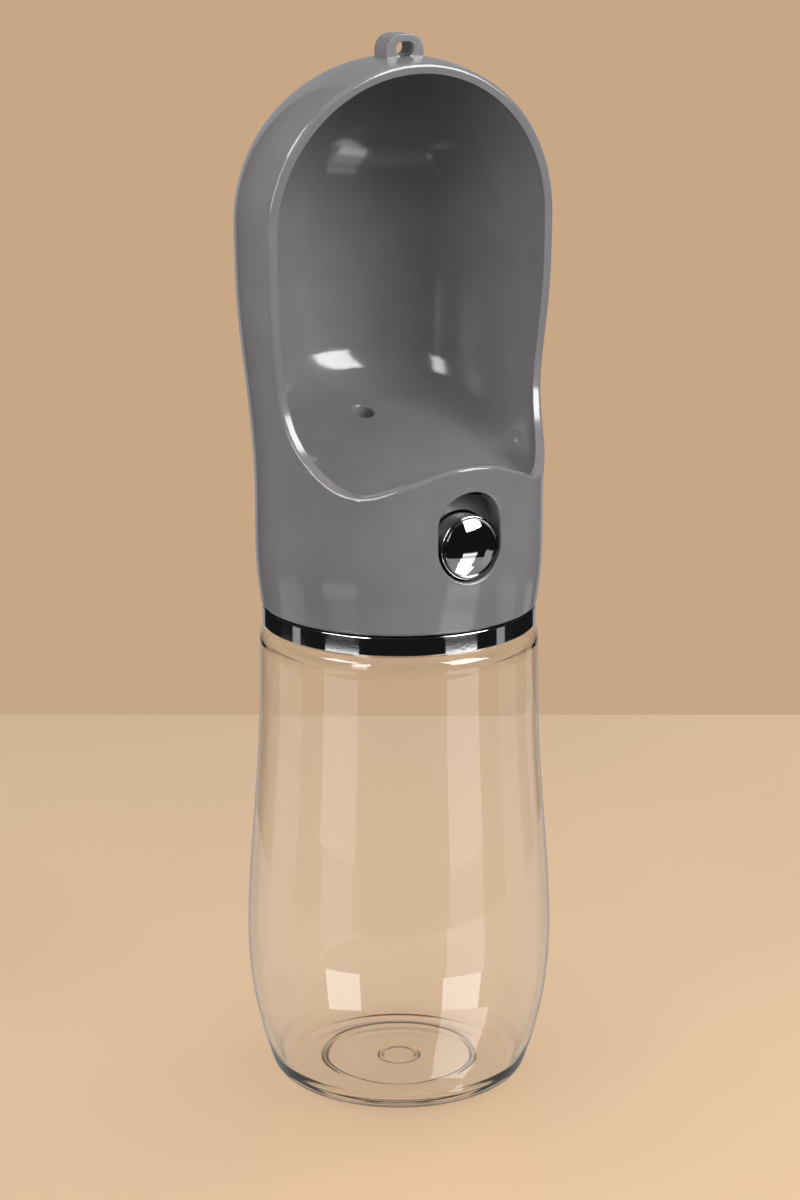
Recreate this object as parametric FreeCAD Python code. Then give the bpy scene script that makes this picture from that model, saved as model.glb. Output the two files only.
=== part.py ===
"""Portable pet water dispenser: a clear bottle under a screw-on head with a hooded drinking bowl.

Frame: millimetres, +Z up, origin on the table under the bottle's axis, front (bowl and button) towards -Y.
A size that ends in FRONT is a distance forward of the axis, so a point that far forward has y = -FRONT.
A size that ends in BACK is a distance behind the axis.
"""

import FreeCAD
import Part
import math
import os

V = FreeCAD.Vector
UP = V(0, 0, 1)
ORIGIN = V(0, 0, 0)

# Bottle: (radius, height) stations of the outer wall, from the base corner to the shoulder
BOTTLE_SIDE = [(34.2, 6.2), (37.9, 21.0), (39.4, 41.5), (38.4, 60.0), (36.8, 80.0), (35.8, 99.0), (35.6, 118.5)]
BASE_CONTACT_R = 28.3
BASE_CORNER_BULGE = (32.6, 2.1)
BOTTLE_WALL = 1.9
BASE_THICK = 3.4
BASE_INNER_ROUND = 6.0
PUSH_UP = 1.1
PUSH_UP_R = 25.5
STEP_RING_R = 19.6
STEP_RING_W = 2.1
STEP_RING_H = 0.7
GATE_R = 5.9
GATE_DIMPLE_R = 3.8
GATE_H = 0.6
SHOULDER_Z = 121.7
SHOULDER_FLAT_R = 32.4
NECK_R = 28.8
NECK_WALL = 2.0
NECK_H = 8.4

# Trim ring
RING_GAP = 0.1
RING_R = 34.8
RING_WALL = 2.2
RING_H = 5.3
RING_FOOT_T = 1.3
RING_BEVEL = 0.7

# Head shell, outside
HEAD_GAP = 0.4
SKIRT_EDGE_R = 35.1
SKIRT_DRAFT_R = 35.7
SKIRT_DRAFT_H = 4.9
SKIRT_TOP_R = 36.4
SKIRT_TOP_H = 31.0
FLARE_SHARE = 0.43
FLARE_H = 56.7
HOOD_R = 40.8
HOOD_H = 96.5
SHELL_WALL = 2.4
SKIRT_EDGE_ROUND = 0.8

# Mouth of the hood, seen from the side: the rim leans at the crown, drops, then sweeps forward to the dips
CROWN_FRONT = 10.3
RIM_FRONT = 7.6
RIM_NECK_FRONT = 6.9
DIP_FRONT = 26.1
DIP_X = 25.7
DIP_H = 35.0
HUMP_H = 41.9
RIM_ROUND = 0.9
CROWN_MARGIN = 3.0
# Between the hood's equator and the dips: (share of the forward run, share of the fall)
SWEEP = [(0.036, 0.26), (0.0, 0.55), (0.11, 0.77), (0.5, 0.927)]
# Between a dip and the middle of the hump: (share of the dip's X, share of the rise)
HUMP = [(0.69, 0.33), (0.5, 0.6), (0.28, 0.89)]

# Bowl
OUTLET_BACK = 19.0
OUTLET_R = 2.7
BOWL_H_AT_OUTLET = 45.2
BOWL_SLOPE = 19.4
BOWL_FILLET = 13.0
BOWL_LIP_FILLET = 4.0
BOWL_FILLET_RUN = 12.0
BOWL_THICK = 2.2
OUTLET_LIP_ROUND = 0.5

# Carry loop on the crown
LOOP_W = 10.2
LOOP_D = 6.2
LOOP_H = 5.2
LOOP_CORNER = 3.9
LOOP_ROOT = 2.0
LOOP_SLOT_W = 5.2
LOOP_SLOT_H = 3.6
LOOP_BRIDGE = 1.7

# Button opening and its pocket
BUTTON_H = 21.4
SLOT_TRAVEL = 5.4
POCKET_R = 8.65
POCKET_LIP_ROUND = 0.55
POCKET_WALL = 1.2
POCKET_BACK_FRONT = 30.2

# Housing in the bowl over the lock slider
HOUSING_R = 29.0
HOUSING_SLOPE = 20.0
HOUSING_FOOT_H = 19.0
HOUSING_TOP_FRONT = 30.0
HOUSING_END_FRONT = 22.6
HOUSING_END_LEAN = 40.0
HOUSING_WALL = 1.4
HOUSING_ROUND = 5.0
HOUSING_ROOM = 0.75

# Clearances
SLIDE_GAP = 0.3
RUN_GAP = 0.06
SEAT_GAP = 0.1
FIT_GAP = 0.05

# Screw cap inside the head
CAP_FLANGE_R = 32.4
CAP_PLATE_T = 2.4
CAP_SKIRT_WALL = 1.95
CAP_THREAD_GAP = 0.45
GASKET_T = 1.9
GASKET_W = 2.9
LOCATING_RING_R = 26.0
LOCATING_RING_W = 2.0
LOCATING_RING_H = 1.7
SEAT_LAP = 1.2
SEAT_RIB_H = 1.4
SNAP_BEAD_H = 1.3
SNAP_BITE = 0.4

# Valve, lying front to back in line with the button at rest
VALVE_R = 7.2
REAR_BORE_R = 5.5
REAR_END_BACK = 28.0
SEAT_BACK = 13.0
SEAT_T = 1.4
SEAT_BORE_R = 2.9
FRONT_BORE_R = 4.6
FRONT_BORE_END_BACK = 1.0
GLAND_WALL_T = 2.0
GLAND_BORE_R = 3.4
GLAND_L = 4.0
INLET_BACK = 6.5
INLET_R = 3.0
INLET_BOSS_R = 5.9
INLET_SEAL_R = 4.8
INLET_SEAL_T = 1.4
RISER_WALL = 1.5
RISER_SPLIT = 0.4
SPIGOT_L = 3.6
SLEEVE_WALL = 1.35
SLEEVE_H = 7.5
FOOT_T = 2.2
FOOT_X = 14.2
FOOT_CLEAR = 7.0
FOOT_SCREW_X = 11.0
FOOT_SCREW_BACKS = (2.5, 21.5)
FOOT_MARGIN = 3.4
BOSS_R = 2.8

# Screws
SCREW_R = 1.1
SCREW_HEAD_R = 2.1
SCREW_HEAD_T = 1.5
SCREW_BITE = 4.0

# Plunger, plug, springs and seals
PRESS = 3.0
ROD_R = 1.5
PAD_R = 1.7
PAD_T = 1.4
PLUG_R = 4.3
PLUG_T = 3.6
PLUG_NOSE_R = 2.9
PLUG_NOSE_L = 1.6
COLLAR_R = 2.4
COLLAR_T = 0.8
END_CAP_FLANGE_T = 1.4
END_CAP_PLUG_L = 2.5
END_CAP_SPIGOT_R = 2.6
END_CAP_SPIGOT_L = 2.0
O_RING_WIRE = 0.9
END_SEAL_WIRE = 0.6
GLAND_NUT_FLANGE_T = 1.3
GLAND_NUT_FLANGE_R = 5.0
VALVE_SPRING_R = 3.65
VALVE_SPRING_WIRE = 0.4
VALVE_SPRING_TURNS = 4
BUTTON_SPRING_R = 5.2
BUTTON_SPRING_WIRE = 0.35
BUTTON_SPRING_TURNS = 4

# Button
BUTTON_R = 8.0
BUTTON_FACE_FRONT = 35.5
BUTTON_DOME = 1.7
BUTTON_RIM_W = 0.7
BUTTON_GROOVE_W = 0.35
BUTTON_GROOVE_D = 0.25
BUTTON_EDGE_ROUND = 0.3
BUTTON_WALL = 1.0
BUTTON_SKIRT_L = 6.5
BUTTON_BOSS_R = 3.4
BUTTON_BOSS_L = 2.6
STEM_R = 2.0
STEM_SOCKET_D = 0.9
CLIP_R = 3.6
CLIP_T = 0.5
CLIP_GROOVE_D = 0.5

# Lock slider and its guide
LOCK_TRAVEL = 4.0
PLATE_T = 1.1
PLATE_HALF_W = 12.0
PLATE_BELOW = 12.7
PLATE_SIDE_ABOVE = 8.1
PLATE_CROWN_ABOVE = 12.3
PLATE_HOLE_GAP = 0.3
PLATE_HOLE_ROUND = 0.4
CUP_WALL = 1.2
CUP_BACK_T = 1.2
GUIDE_T = 1.4
GUIDE_LIP_W = 1.5
GUIDE_ABOVE = 11.1
GUIDE_STOP_H = 1.2
GUIDE_EAR_X = 18.8
GUIDE_EAR_T = 1.6
GUIDE_EAR_BELOW = 10.6
GUIDE_EAR_ABOVE = 5.6
GUIDE_SCREW_X = 16.4
GUIDE_SCREW_RISES = (-7.4, 2.6)
GUIDE_BOSS_R = 2.3
GUIDE_SCREW_BITE = 2.9
GUIDE_SCREW_R = 0.9

# Heights and places that follow from the sizes above
EDGE_Z = SHOULDER_Z + RING_GAP + RING_H + HEAD_GAP
HOOD_Z = EDGE_Z + HOOD_H
NECK_TOP_Z = SHOULDER_Z + NECK_H
PLATE_BOTTOM_Z = NECK_TOP_Z + SEAT_GAP + GASKET_T
PLATE_TOP_Z = PLATE_BOTTOM_Z + CAP_PLATE_T
BUTTON_Z = EDGE_Z + BUTTON_H
POCKET_TOP_Z = BUTTON_Z + SLOT_TRAVEL
BOWL_Z = EDGE_Z + BOWL_H_AT_OUTLET
CUP_R = BUTTON_R + PLATE_HOLE_GAP
PLATE_FRONT = POCKET_BACK_FRONT - SLIDE_GAP
PLATE_REAR = PLATE_FRONT - PLATE_T
GUIDE_FRONT = PLATE_REAR - SLIDE_GAP
GUIDE_REAR = GUIDE_FRONT - GUIDE_T
EAR_FRONT = GUIDE_REAR + 0.2
EAR_REAR = EAR_FRONT - GUIDE_EAR_T
SKIRT_REAR = BUTTON_FACE_FRONT - BUTTON_SKIRT_L
CUP_FLOOR = SKIRT_REAR - PRESS - SLIDE_GAP
CUP_REAR = CUP_FLOOR - CUP_BACK_T
CLIP_FRONT = CUP_REAR - 0.2
STEM_REAR = CLIP_FRONT - CLIP_T - SLIDE_GAP
PAD_FRONT = STEM_REAR - SLIDE_GAP
SCREW_FOOT_Z = PLATE_TOP_Z + FOOT_CLEAR
SLIDER_TOP_Z = BUTTON_Z + PLATE_CROWN_ABOVE + LOCK_TRAVEL
HOUSING_TOP_Z = SLIDER_TOP_Z + HOUSING_ROOM + HOUSING_WALL / math.cos(math.radians(HOUSING_SLOPE))
FLARE_R = SKIRT_TOP_R + FLARE_SHARE * (HOOD_R - SKIRT_TOP_R)
FAR = 3 * HOOD_R


def at_depth(front, x=0.0, z=0.0):
    """Return the point at a distance in front of the bottle's axis."""
    return V(x, -front, z)


def box_between(low, high):
    """Return the box with the two given corners, each a tuple of x, front and z."""
    size = [b - a for a, b in zip(low, high)]
    return Part.makeBox(size[0], size[1], size[2], V(low[0], -high[1], low[2]))


def turned(points):
    """Return the solid turned about Z from a closed outline of (radius, height) points."""
    wire = Part.makePolygon([V(r, 0, z) for r, z in points + points[:1]])
    return Part.Face(wire).revolve(ORIGIN, UP, 360)


def turned_across(points, z):
    """Return the solid turned about the front-to-back line at height z, from (radius, front) points."""
    wire = Part.makePolygon([at_depth(front, r, z) for r, front in points + points[:1]])
    return Part.Face(wire).revolve(V(0, 0, z), V(0, -1, 0), 360)


def rod_across(radius, rear, front, z, x=0.0):
    """Return a cylinder that runs front to back between two depths."""
    return Part.makeCylinder(radius, front - rear, at_depth(rear, x, z), V(0, -1, 0))


def post(radius, low, high, back, x=0.0):
    """Return an upright cylinder behind the axis."""
    return Part.makeCylinder(radius, high - low, V(x, back, low), UP)


def stadium_across(radius, rear, front, low_z, high_z):
    """Return an upright stadium prism: two half circles at low_z and high_z, run front to back."""
    side = [V(-radius, 0, low_z), V(-radius, 0, high_z), V(radius, 0, high_z), V(radius, 0, low_z)]
    top = Part.Arc(side[1], V(0, 0, high_z + radius), side[2]).toShape()
    bottom = Part.Arc(side[3], V(0, 0, low_z - radius), side[0]).toShape()
    lines = [Part.makeLine(side[0], side[1]), Part.makeLine(side[2], side[3])]
    face = Part.Face(Part.Wire([lines[0], top, lines[1], bottom]))
    face.translate(at_depth(rear))
    return face.extrude(V(0, rear - front, 0))


def spring_across(mean_r, wire_r, turns, rear, front, z):
    """Return a coil spring that lies front to back between two depths."""
    height = front - rear - 2 * wire_r
    path = Part.makeHelix(height / turns, height, mean_r)
    ring = Part.makeCircle(wire_r, V(mean_r, 0, 0), V(0, 1, 0))
    coil = Part.Wire(path.Edges).makePipeShell([Part.Wire([ring])], True, True)
    coil.rotate(ORIGIN, V(1, 0, 0), 90)
    coil.translate(at_depth(rear + wire_r, 0, z))
    return coil


def o_ring_across(inner_r, wire_r, rear, z):
    """Return an O-ring round the front-to-back line, with its rear side at the given depth."""
    return Part.makeTorus(inner_r + wire_r, wire_r, at_depth(rear + wire_r, 0, z), V(0, -1, 0))


def smooth(points, first=None, last=None):
    """Return a curve edge in the XZ plane through (radius, height) points."""
    curve = Part.BSplineCurve()
    ends = {}
    if first and last:
        ends = {"InitialTangent": V(first[0], 0, first[1]), "FinalTangent": V(last[0], 0, last[1])}
    curve.interpolate(Points=[V(r, 0, z) for r, z in points], **ends)
    return curve.toShape()


def chain(points):
    """Return straight edges in the XZ plane through (radius, height) points."""
    return [Part.makeLine(V(a[0], 0, a[1]), V(b[0], 0, b[1])) for a, b in zip(points, points[1:])]


def arc(start, middle, end):
    """Return an arc edge in the XZ plane through three (radius, height) points."""
    return Part.Arc(*[V(r, 0, z) for r, z in (start, middle, end)]).toShape()


def revolve_edges(edges):
    """Return the solid turned about Z from edges that close an outline."""
    wire = Part.Wire(Part.__sortEdges__(edges))
    return Part.Face(wire).revolve(ORIGIN, UP, 360)


def make_bottle():
    """The clear bottle: barrel-shaped body, pushed-up base with a moulding step and gate, and open neck."""
    side = BOTTLE_SIDE
    corner = [(BASE_CONTACT_R, 0.0), BASE_CORNER_BULGE, side[0]]
    shoulder_bulge = ((side[-1][0] + SHOULDER_FLAT_R) / 2 + 0.75, (side[-1][1] + SHOULDER_Z) / 2 + 0.75)
    shoulder = [side[-1], shoulder_bulge, (SHOULDER_FLAT_R, SHOULDER_Z)]
    outside = [arc(*corner), smooth(side), arc(*shoulder)]
    neck_top = SHOULDER_Z + NECK_H
    outside += chain([(SHOULDER_FLAT_R, SHOULDER_Z), (NECK_R, SHOULDER_Z), (NECK_R, neck_top), (0, neck_top)])
    step_in = STEP_RING_R - STEP_RING_W / 2
    step_out = STEP_RING_R + STEP_RING_W / 2
    roof = PUSH_UP + STEP_RING_H
    under = [(BASE_CONTACT_R, 0.0), (BASE_CONTACT_R - 1.2, 0.0), (PUSH_UP_R, PUSH_UP), (step_out, PUSH_UP)]
    under += [(step_out, roof), (step_in, roof), (step_in, PUSH_UP), (GATE_R, PUSH_UP)]
    under += [(GATE_R, PUSH_UP - GATE_H), (GATE_DIMPLE_R, PUSH_UP - GATE_H), (GATE_DIMPLE_R, PUSH_UP), (0, PUSH_UP)]
    solid = revolve_edges(outside + chain(under) + chain([(0, PUSH_UP), (0, neck_top)]))
    inner = [(r - BOTTLE_WALL, z) for r, z in side]
    floor_z = PUSH_UP + BASE_THICK
    floor_r = inner[0][0] - BASE_INNER_ROUND
    turn = BASE_INNER_ROUND * (1 - math.sqrt(0.5))
    round_mid = (inner[0][0] - turn - 0.2, floor_z + turn)
    inner[0] = (inner[0][0], floor_z + BASE_INNER_ROUND)
    bore_r = NECK_R - NECK_WALL
    roof_z = SHOULDER_Z - BOTTLE_WALL
    top_bulge = (shoulder_bulge[0] - BOTTLE_WALL * 0.8, shoulder_bulge[1] - BOTTLE_WALL * 0.8)
    hollow = chain([(0, floor_z), (floor_r, floor_z)])
    hollow += [arc((floor_r, floor_z), round_mid, inner[0]), smooth(inner)]
    hollow += [arc(inner[-1], top_bulge, (SHOULDER_FLAT_R - BOTTLE_WALL, roof_z))]
    mouth = [(SHOULDER_FLAT_R - BOTTLE_WALL, roof_z), (bore_r, roof_z), (bore_r, neck_top + 1)]
    hollow += chain(mouth + [(0, neck_top + 1), (0, floor_z)])
    return solid.cut(revolve_edges(hollow))


def make_chrome_ring():
    """The bright ring that stands on the bottle's shoulder round the cap's skirt."""
    low = SHOULDER_Z + RING_GAP
    high = low + RING_H
    inner_r = RING_R - RING_WALL
    foot_r = NECK_R + CAP_THREAD_GAP
    foot_top = low + RING_FOOT_T
    points = [(foot_r, low), (RING_R - RING_BEVEL, low), (RING_R, low + RING_BEVEL), (RING_R, high)]
    return turned(points + [(inner_r, high), (inner_r, foot_top), (foot_r, foot_top)])


def make_inner_cap():
    """The screw cap that closes the bottle and carries the valve, with four screw bosses on its plate."""
    bore_r = NECK_R + CAP_THREAD_GAP
    skirt_r = bore_r + CAP_SKIRT_WALL
    skirt_low = SHOULDER_Z + RING_GAP + RING_FOOT_T + SLIDE_GAP
    ring_in = LOCATING_RING_R - LOCATING_RING_W
    ring_low = PLATE_BOTTOM_Z - LOCATING_RING_H
    points = [(0, PLATE_TOP_Z), (CAP_FLANGE_R, PLATE_TOP_Z), (CAP_FLANGE_R, PLATE_BOTTOM_Z)]
    points += [(skirt_r, PLATE_BOTTOM_Z), (skirt_r, skirt_low), (bore_r, skirt_low), (bore_r, PLATE_BOTTOM_Z)]
    points += [(LOCATING_RING_R, PLATE_BOTTOM_Z), (LOCATING_RING_R, ring_low), (ring_in, ring_low)]
    cap = turned(points + [(ring_in, PLATE_BOTTOM_Z), (0, PLATE_BOTTOM_Z)])
    for x, back in foot_screw_places():
        cap = cap.fuse(post(BOSS_R, PLATE_TOP_Z, SCREW_FOOT_Z, back, x))
        cap = cap.cut(post(SCREW_R + FIT_GAP, SCREW_FOOT_Z - SCREW_BITE - 0.5, SCREW_FOOT_Z + 1, back, x))
    return cap.cut(post(INLET_R, PLATE_BOTTOM_Z - 1, PLATE_TOP_Z + 1, INLET_BACK)).removeSplitter()


def make_neck_gasket():
    """The flat silicone ring that seals the cap on the bottle's mouth."""
    outer_r = NECK_R + CAP_THREAD_GAP - 0.15
    points = [(outer_r - GASKET_W, PLATE_BOTTOM_Z), (outer_r, PLATE_BOTTOM_Z)]
    low = PLATE_BOTTOM_Z - GASKET_T
    return turned(points + [(outer_r, low), (outer_r - GASKET_W, low)])


def foot_screw_places():
    """Return the (x, back) places of the four valve screws."""
    return [(x, back) for x in (-FOOT_SCREW_X, FOOT_SCREW_X) for back in FOOT_SCREW_BACKS]


def guide_screw_places():
    """Return the (x, z) places of the four guide screws."""
    return [(x, BUTTON_Z + rise) for x in (-GUIDE_SCREW_X, GUIDE_SCREW_X) for rise in GUIDE_SCREW_RISES]


def shell_form(inset):
    """Return the head's closed outer form, drawn in by inset: drafted skirt, flare and domed hood."""
    stations = [
        (SKIRT_EDGE_R, EDGE_Z),
        (SKIRT_DRAFT_R, EDGE_Z + SKIRT_DRAFT_H),
        (SKIRT_TOP_R, EDGE_Z + SKIRT_TOP_H),
        (FLARE_R, EDGE_Z + FLARE_H),
        (HOOD_R, HOOD_Z),
    ]
    stations = [(r - inset, z) for r, z in stations]
    radius = HOOD_R - inset
    side = smooth(stations, (0.08, 1.0), (0.0, 1.0))
    diagonal = radius * math.sqrt(0.5)
    dome = arc((radius, HOOD_Z), (diagonal, HOOD_Z + diagonal), (0, HOOD_Z + radius))
    return revolve_edges([side, dome] + chain([(0, HOOD_Z + radius), (0, EDGE_Z), stations[0]]))


def bowl_plane_z(front, drop=0.0):
    """Return the height of the bowl's sloping floor at a depth, less a drop square to the floor."""
    slope = math.radians(BOWL_SLOPE)
    return BOWL_Z - (front + OUTLET_BACK) * math.tan(slope) - drop / math.cos(slope)


def side_prism(points, half_width):
    """Return the prism of an outline of (front, height) points, drawn from the side, across the head."""
    wire = Part.makePolygon([at_depth(f, -half_width, z) for f, z in points + points[:1]])
    return Part.Face(wire).extrude(V(2 * half_width, 0, 0))


def above_bowl():
    """Return the space above the bowl's floor plane."""
    span = 2 * HOOD_R
    top = HOOD_Z + span
    return side_prism([(-span, bowl_plane_z(-span)), (span, bowl_plane_z(span)), (span, top), (-span, top)], span)


def hood_cavity():
    """The space inside the hood, whose wide fillet between floor and walls narrows towards the front lip."""
    space = shell_form(SHELL_WALL).common(above_bowl())
    far = 3 * HOOD_R
    rear = space.common(box_between((0, -far, 0), (far, BOWL_FILLET_RUN, HOOD_Z + far)))
    half = rear.fuse(space.common(box_between((0, BOWL_FILLET_RUN, 0), (far, far, HOOD_Z + far))))
    for edge in half.Edges:
        if is_narrowing_seam(edge):
            half = half.makeFillet(BOWL_FILLET, BOWL_LIP_FILLET, [edge])
            break
    return half.fuse(half.mirror(ORIGIN, V(1, 0, 0))).removeSplitter()


def is_narrowing_seam(edge):
    """Tell whether an edge is the stretch of the bowl's seam along which its fillet narrows."""
    ends = [vertex.Point for vertex in edge.Vertexes]
    on_floor = all(abs(p.z - bowl_plane_z(-p.y)) < 0.01 for p in ends)
    reach = [min(-p.y for p in ends), max(-p.y for p in ends)]
    return on_floor and abs(reach[0]) < 0.01 and abs(reach[1] - BOWL_FILLET_RUN) < 0.01 and ends[0].x > 1


def mouth_cut():
    """The space in front of the rim: the side sweep and the front hump, each a prism, taken together."""
    far = FAR
    dip_z = EDGE_Z + DIP_H
    hump_z = EDGE_Z + HUMP_H
    crown_z = HOOD_Z + HOOD_R + CROWN_MARGIN
    neck_run = DIP_FRONT - RIM_NECK_FRONT
    sweep = [(CROWN_FRONT, crown_z), (RIM_FRONT, HOOD_Z)]
    sweep += [(RIM_NECK_FRONT + run * neck_run, HOOD_Z + fall * (dip_z - HOOD_Z)) for run, fall in SWEEP]
    sweep.append((DIP_FRONT, dip_z))
    curve = smooth(sweep, (-0.06, -1.0), (1.0, 0.0))
    edges = [curve] + chain([sweep[-1], (far, dip_z), (far, crown_z), sweep[0]])
    side = Part.Face(Part.Wire(Part.__sortEdges__(edges)))
    side.rotate(ORIGIN, UP, -90)
    side.translate(V(-far, 0, 0))
    side = side.extrude(V(2 * far, 0, 0))
    rise = hump_z - dip_z
    half = [(DIP_X, dip_z)] + [(out * DIP_X, dip_z + up * rise) for out, up in HUMP] + [(0.0, hump_z)]
    hump = [(-x, z) for x, z in half] + [(x, z) for x, z in reversed(half[:-1])]
    over = [smooth(hump, (1.0, 0.0), (1.0, 0.0))]
    over += chain([(DIP_X, dip_z), (far, dip_z), (far, crown_z), (-far, crown_z), (-far, dip_z), (-DIP_X, dip_z)])
    front = Part.Face(Part.Wire(Part.__sortEdges__(over)))
    front.translate(V(0, -far, 0))
    return side.common(front.extrude(V(0, 2 * far, 0)))


def slider_housing(inset, rounded):
    """The blister in the bowl that makes room for the lock slider: a sloping barrel with a leaning end."""
    slope = math.radians(HOUSING_SLOPE)
    radius = HOUSING_R - inset
    barrel = Part.makeCylinder(radius, 3 * HOUSING_R, V(0, HOUSING_R, 0), V(0, -1, 0))
    barrel.rotate(ORIGIN, V(1, 0, 0), -HOUSING_SLOPE)
    barrel.translate(at_depth(HOUSING_TOP_FRONT, 0, HOUSING_TOP_Z - HOUSING_R / math.cos(slope)))
    end_front = HOUSING_END_FRONT + inset
    end_z = HOUSING_TOP_Z - (HOUSING_TOP_FRONT - HOUSING_END_FRONT) * math.tan(slope)
    lean = math.tan(math.radians(HOUSING_END_LEAN))
    reach = 2 * HOUSING_R
    behind = [(end_front - lean * reach, end_z - reach), (end_front + lean * reach, end_z + reach)]
    behind += [(-reach * 2, end_z + reach), (-reach * 2, end_z - reach)]
    block = barrel.cut(side_prism(behind, reach))
    if rounded:
        crown = [e for e in block.Edges if end_z - 6 < e.BoundBox.ZMax < end_z + 3]
        block = block.makeFillet(HOUSING_ROUND, crown)
    return block


def below_bowl():
    """Return the space under the bowl's floor, one floor thickness down."""
    span = 2 * HOOD_R
    low = EDGE_Z - 1
    points = [(-span, low), (span, low), (span, bowl_plane_z(span, BOWL_THICK))]
    return side_prism(points + [(-span, bowl_plane_z(-span, BOWL_THICK))], span)


def skirt_cavity():
    """The dry space under the bowl that holds the cap, the valve and the lock slider."""
    inside = shell_form(SHELL_WALL)
    room = inside.common(below_bowl())
    over_slider = slider_housing(HOUSING_WALL, False).common(inside)
    return room.fuse(over_slider.common(above_foot()))


def carry_loop():
    """The upright eye on the crown that a cord or clip goes through."""
    top = HOOD_Z + HOOD_R + LOOP_H
    half = LOOP_W / 2
    low = HOOD_Z + HOOD_R - LOOP_ROOT
    c = LOOP_CORNER
    s = c * (1 - math.sqrt(0.5))
    edges = chain([(-half, top - c), (-half, low), (half, low), (half, top - c)])
    edges += [arc((half, top - c), (half - s, top - s), (half - c, top))]
    edges += chain([(half - c, top), (-half + c, top)])
    edges += [arc((-half + c, top), (-half + s, top - s), (-half, top - c))]
    face = Part.Face(Part.Wire(Part.__sortEdges__(edges)))
    face.translate(V(0, -LOOP_D / 2, 0))
    eye = face.extrude(V(0, LOOP_D, 0))
    slot_z = top - LOOP_BRIDGE - LOOP_SLOT_H / 2
    slot_r = LOOP_SLOT_H / 2
    reach = LOOP_SLOT_W / 2 - slot_r
    slot = stadium_across(slot_r, -LOOP_D, LOOP_D, -reach, reach)
    slot.rotate(ORIGIN, V(0, 1, 0), 90)
    slot.translate(V(0, 0, slot_z))
    return eye, slot


def rounded_outside():
    """Return the head's solid outer form with the mouth cut away and the rim's outer edge rounded."""
    form = shell_form(0)
    mouth = mouth_cut()
    block = form.cut(mouth)
    rim = []
    for edge in block.Edges:
        middle = Part.Vertex(edge.valueAt((edge.FirstParameter + edge.LastParameter) / 2))
        on_mouth = middle.distToShape(mouth)[0] < 0.001
        if on_mouth and middle.distToShape(form.Shells[0])[0] < 0.001:
            rim.append(edge)
    return block.makeFillet(RIM_ROUND, rim)


def make_head_shell():
    """The grey head: skirt, hood, bowl and carry loop in one moulding, open at the mouth and underneath."""
    outside = rounded_outside()
    eye, eye_slot = carry_loop()
    shell = outside.fuse(eye)
    shell = shell.cut(hood_cavity())
    shell = shell.fuse(slider_housing(0, True).common(outside).common(above_foot()))
    shell = shell.cut(skirt_cavity()).cut(eye_slot)
    for feature in shell_features():
        shell = shell.fuse(feature)
    pocket = stadium_across(POCKET_R, POCKET_BACK_FRONT - 1, HOOD_R + 2, BUTTON_Z, POCKET_TOP_Z)
    shell = shell.cut(pocket)
    shell = shell.cut(post(OUTLET_R, BOWL_Z - SPIGOT_L * 3, BOWL_Z + 3, OUTLET_BACK))
    for x, z in guide_screw_places():
        shell = shell.cut(rod_across(GUIDE_SCREW_R + FIT_GAP, EAR_FRONT - 1, EAR_FRONT + GUIDE_SCREW_BITE, z, x))
    shell = shell.removeSplitter()
    shell = shell.makeFillet(SKIRT_EDGE_ROUND, [e for e in shell.Edges if is_level_ring(e, SKIRT_EDGE_R, EDGE_Z)])
    shell = shell.makeFillet(POCKET_LIP_ROUND, [e for e in shell.Edges if on_pocket_lip(e)])
    return shell.makeFillet(OUTLET_LIP_ROUND, [e for e in shell.Edges if on_outlet_lip(e)])


def is_level_ring(edge, radius, height):
    """Tell whether an edge is a full level ring of the given radius at the given height."""
    box = edge.BoundBox
    level = abs(box.ZMin - height) < 0.01 and abs(box.ZMax - height) < 0.01
    return level and abs(box.XLength - 2 * radius) < 0.01


def on_pocket_lip(edge):
    """Tell whether an edge lies on the outer mouth of the button's pocket."""
    box = edge.BoundBox
    narrow = max(-box.XMin, box.XMax) < POCKET_R + 0.05
    low = BUTTON_Z - POCKET_R - 0.05
    high = POCKET_TOP_Z + POCKET_R + 0.05
    return narrow and -box.YMax > POCKET_BACK_FRONT + POCKET_LIP_ROUND and box.ZMin > low and box.ZMax < high


def on_outlet_lip(edge):
    """Tell whether an edge is the mouth of the outlet hole in the bowl's floor."""
    box = edge.BoundBox
    narrow = max(-box.XMin, box.XMax) < OUTLET_R + 0.01
    near = abs(box.Center.y - OUTLET_BACK) < 0.1
    return narrow and near and abs(box.Center.z - BOWL_Z) < 0.2 and box.ZLength > 0.5


def above_foot():
    """Return the space above the height at which the blister joins the front wall."""
    low = EDGE_Z + HOUSING_FOOT_H
    return side_prism([(-FAR, low), (FAR, low), (FAR, HOOD_Z), (-FAR, HOOD_Z)], FAR)


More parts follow.
